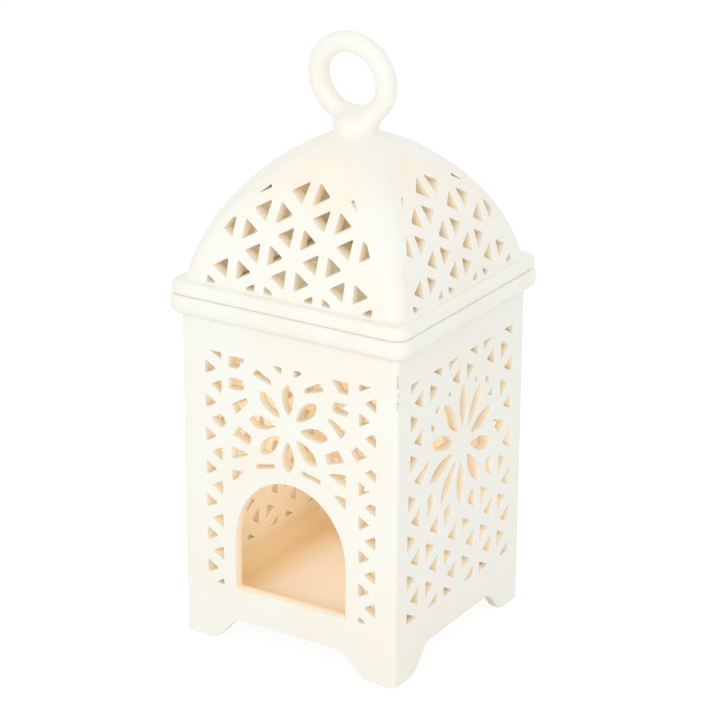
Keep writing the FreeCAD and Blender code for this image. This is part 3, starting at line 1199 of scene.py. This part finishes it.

# Where the painted light on the open floor fades in, downwards to the slab and inwards from the walls
open_floor_over = (floor_cove, 0.5)
open_floor_away = (5, 24)

# Painted shade in the left wall's cuts, by depth and just outside the chamber
left_cut_shade_depth = (0.2, 0.9)
left_cut_shade_edge = 0.1

# Warmer towards the bottom of the dish
dish_pale_top = 1.0
dish_warmth = 0.8

# How far under the outer face the colour turns from ivory to the warm tones of the inside: partly a
# thinner glaze, partly painted shade and painted bounced light
cut_from = 0.05
cut_full = 1.1
deep_full = 3.2
inside_from = wall_thickness - 0.6
inside_full = wall_thickness - 0.1


def glaze(name, depth_of):
    """Ivory glaze, satin and slightly uneven, warmer down the cuts and inside: partly a thinner glaze,
    partly painted shade and painted bounced light.
    """
    material = bpy.data.materials.new(name)
    finish = Finish(material)
    spot, (across, away, up) = finish.place()
    depth, painted_light_and_flaw = depth_of(finish, spot, across, away, up)
    cut = finish.step(depth, cut_from, cut_full)
    deep = finish.step(depth, cut_full, deep_full)
    inside = finish.step(depth, inside_from, inside_full)
    drift = finish.noise(spot, *drift_noise)
    patch = finish.noise(spot, *patch_noise)
    outside_tone = finish.mix(finish.step(drift, *warm_between), ivory, ivory_warm)
    cut_tone = finish.mix(finish.step(patch, *patchy_between), cut_cream, cut_tan)
    cut_tone = finish.mix(deep, cut_tone, cut_deep)
    inside_tone = finish.mix(finish.step(drift, *patchy_between), inside_tan, inside_deep)
    tone = finish.mix(inside, finish.mix(cut, outside_tone, cut_tone), inside_tone)
    # Overlays of painted light and shade, and of a real flaw in the glaze
    for share, overlay_tone in painted_light_and_flaw:
        tone = finish.mix(share, tone, overlay_tone)
    specks = finish.node("TexVoronoi", {}, {"Vector": spot, "Scale": speck_scale, "Randomness": 1})
    chance = finish.node("TexWhiteNoise", {}, {"Vector": finish.out(specks, "Position")})
    near = finish.step(finish.out(specks, "Distance"), *speck_reach)
    speck = near * finish.step(finish.out(chance, "Value"), *speck_chance) * speck_strength
    tone = finish.mix(speck, tone, speck_brown)
    bump = finish.node("Bump", {}, {
        "Strength": bump_strength,
        "Distance": bump_height * mm,
        "Height": finish.noise(spot, *swell_noise) + finish.noise(spot, *peel_noise) * peel_height,
    })
    shader = finish.node("BsdfPrincipled", {}, {
        "Base Color": tone,
        "Roughness": satin + inside * matter_inside + patch * patch_roughness,
        "Normal": finish.out(bump),
        "Coat Weight": (1 - inside) * glaze_coat,
        "Coat Roughness": coat_roughness,
        "IOR": glaze_index,
    })
    finish.node("OutputMaterial", {}, {"Surface": finish.out(shader)})
    return material


def depth_at_corner(finish, one, other, radius):
    """How far under the glaze a point lies, from its depths under two faces that meet in a soft corner."""
    short, short_other = radius - one, radius - other
    reach = finish.maths("MAXIMUM", short, 0) ** 2 + finish.maths("MAXIMUM", short_other, 0) ** 2
    past = finish.maths("MINIMUM", finish.maths("MAXIMUM", short, short_other), 0)
    return radius - finish.maths("SQRT", reach) - past


def body_depth(finish, spot, across, away, up):
    depth = depth_at_corner(finish, body_half - abs(across), body_half - abs(away), wall_corner)
    inside = finish.step(depth, inside_from, inside_full)
    from_wall = chamber_half - finish.maths("MAXIMUM", abs(across), abs(away))
    above = up - floor_high.z
    # Painted shade in the hollow between the floor and the walls
    off_hollow_shade = from_wall - hollow_shade_middle
    up_wall = above * hollow_shade_up_wall
    from_hollow_shade = finish.maths("SQRT", off_hollow_shade * off_hollow_shade + up_wall * up_wall)
    on_lit_floor = finish.step(above, *open_floor_over) * finish.step(from_wall, *open_floor_away)
    # Painted shade down the cuts of the left wall
    in_left_cut = (1 - inside) * finish.step(across, -chamber_half, -chamber_half - left_cut_shade_edge)
    crawl = finish.step(finish.noise(spot, *crawl_noise), *crawl_between)
    off_edge = finish.maths("MAXIMUM", abs(across - flaw_across), abs(away - flaw_away))
    along = finish.step(abs(up - flaw_middle), flaw_reach, flaw_reach / 2)
    # Painted light on the open floor, painted shade in the floor's hollow and in the left wall's cuts, and
    # a real glaze flaw
    painted_light_and_flaw = [
        (inside * on_lit_floor, floor_painted_light),
        (inside * finish.step(from_hollow_shade, hollow_shade_reach, hollow_shade_core), hollow_shade_tan),
        (finish.step(depth, *left_cut_shade_depth) * in_left_cut, left_cut_shade),
        (finish.step(off_edge, *flaw_width) * along * crawl * flaw_strength, flaw_grey),
    ]
    return depth, painted_light_and_flaw


def lid_depth(finish, spot, across, away, up):
    level = up - vault_middle.y
    swell = finish.step(up, lid_rim_top, vault_full_from) * vault_fullness
    swell = swell * finish.step(up, neck_foot_middle.y, vault_full_to)
    depths = []
    for way in (across, away):
        out = abs(way) - vault_middle.x
        depths.append(swell + vault_radius - finish.maths("SQRT", out * out + level * level))
    depth = depth_at_corner(finish, *depths, swell * hip_by_fullness + vault_hip)
    return depth, []


def dish_depth(finish, spot, across, away, up):
    hollow = finish.step(up, dish_high.z - dish_pale_top, dish_low.z)
    return hollow * dish_warmth, []


def finished(piece, body, slot, material, *nodes):
    piece.data.materials.clear()
    piece.data.materials.append(material)
    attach(piece, body)
    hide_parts(*nodes)


body_glaze = glaze("ivory_glaze_body", body_depth)
dish_glaze = glaze("ivory_glaze_dish", dish_depth)
lid_glaze = glaze("ivory_glaze_lid", lid_depth)

finished(
    body_walls(), "burner_body", "body_glaze", body_glaze,
    "front_wall", "right_wall", "back_wall", "left_wall",
)
finished(chamber_floor(), "burner_body", "body_glaze", body_glaze, "chamber_floor")
finished(body_rim(), "burner_body", "body_glaze", body_glaze, "body_rim")
finished(oil_dish(), "dish", "dish_glaze", dish_glaze, "oil_dish")
finished(lid_rim(), "lid", "lid_glaze", lid_glaze, "lid_rim")
finished(
    lid_vault(), "lid", "lid_glaze", lid_glaze,
    "lid_front_panel", "lid_right_panel", "lid_back_panel", "lid_left_panel",
)
finished(lid_handle(), "lid", "lid_glaze", lid_glaze, "lid_neck", "lifting_ring")


# Stage, light and camera

pure_white = (1, 1, 1)
floor_grey = (0.9, 0.9, 0.9)
floor_strength = 1.07
lamp_aim = (0, 0, 0.1)
view_around = math.radians(31.79)
view_above = math.radians(21.05)
view_roll = math.radians(0.272)
view_height = 102.93
view_distance = 1013.3
view_aside = 1.7
film_width = 36
focal_length = 138
nearest = 0.01


def camera_sees(finish):
    """1 for the camera and for what it sees mirrored or through glass."""
    rays = finish.node("LightPath")
    seen = finish.maths("MAXIMUM", finish.out(rays, "Is Camera Ray"), finish.out(rays, "Is Glossy Ray"))
    return finish.maths("MAXIMUM", seen, finish.out(rays, "Is Transmission Ray"))


def white_world(strength):
    world = bpy.data.worlds.new("studio")
    bpy.context.scene.world = world
    finish = Finish(world)
    soft = finish.node("Background", {}, {"Color": pure_white, "Strength": strength})
    white = finish.node("Background", {}, {"Color": pure_white, "Strength": 1})
    finish.node("OutputWorld", {}, {"Surface": finish.mix_shaders(camera_sees(finish), soft, white)})


def pale_floor(half_width, shadow_share):
    mesh = bpy.data.meshes.new("floor_plane")
    corners = [(x * half_width, y * half_width, 0) for x, y in ((-1, -1), (1, -1), (1, 1), (-1, 1))]
    mesh.from_pydata(corners, [], [(0, 1, 2, 3)])
    material = bpy.data.materials.new("pale_floor")
    finish = Finish(material)
    matt = finish.node("BsdfDiffuse", {}, {"Color": floor_grey})
    white = finish.node("Emission", {}, {"Color": pure_white, "Strength": floor_strength})
    share = camera_sees(finish) * (1 - shadow_share)
    finish.node("OutputMaterial", {}, {"Surface": finish.mix_shaders(share, matt, white)})
    mesh.materials.append(material)
    floor = put("floor_plane", mesh)


def softbox(name, place, size, power):
    lamp = bpy.data.lights.new(name, "AREA")
    lamp.shape = "DISK"
    lamp.size = size
    lamp.energy = power
    holder = put(name, lamp)
    holder.location = place
    holder.rotation_mode = "QUATERNION"
    holder.rotation_quaternion = (Vector(lamp_aim) - Vector(place)).to_track_quat("-Z", "Y")


def glow(name, place, radius, power):
    """Light inside, where the white surroundings hardly reach."""
    lamp = bpy.data.lights.new(name, "POINT")
    lamp.shadow_soft_size = radius * mm
    lamp.energy = power
    holder = put(name, lamp)
    holder.location = Vector(place) * mm
    holder.visible_camera = False
    holder.visible_glossy = False


def camera():
    """The camera that took the photograph, from its place round the object."""
    back = Vector((
        math.sin(view_around) * math.cos(view_above),
        -math.cos(view_around) * math.cos(view_above),
        math.sin(view_above),
    ))
    right = Vector((math.cos(view_around), math.sin(view_around), 0))
    aim = Vector((0, 0, view_height))
    lens = bpy.data.cameras.new("camera")
    lens.sensor_width = film_width
    lens.lens = focal_length
    lens.clip_start = nearest
    holder = put("camera", lens)
    holder.location = (aim + back * view_distance + right * view_aside) * mm
    holder.rotation_mode = "QUATERNION"
    holder.rotation_quaternion = (-back).to_track_quat("-Z", "Y") @ Quaternion((0, 0, 1), view_roll)
    bpy.context.scene.camera = holder


white_world(strength=0.84)
pale_floor(half_width=3.0, shadow_share=0.12)
softbox("key", place=(0.38, -1.0, 0.53), size=0.7, power=2.57)
softbox("fill", place=(0.95, -0.3, 0.40), size=0.8, power=0.1)
glow("chamber_light", place=(0, 0, 70), radius=18, power=0.034)
glow("lid_light", place=(0, 0, 155), radius=15, power=0.0105)
camera()

bpy.context.scene.view_settings.view_transform = "Standard"
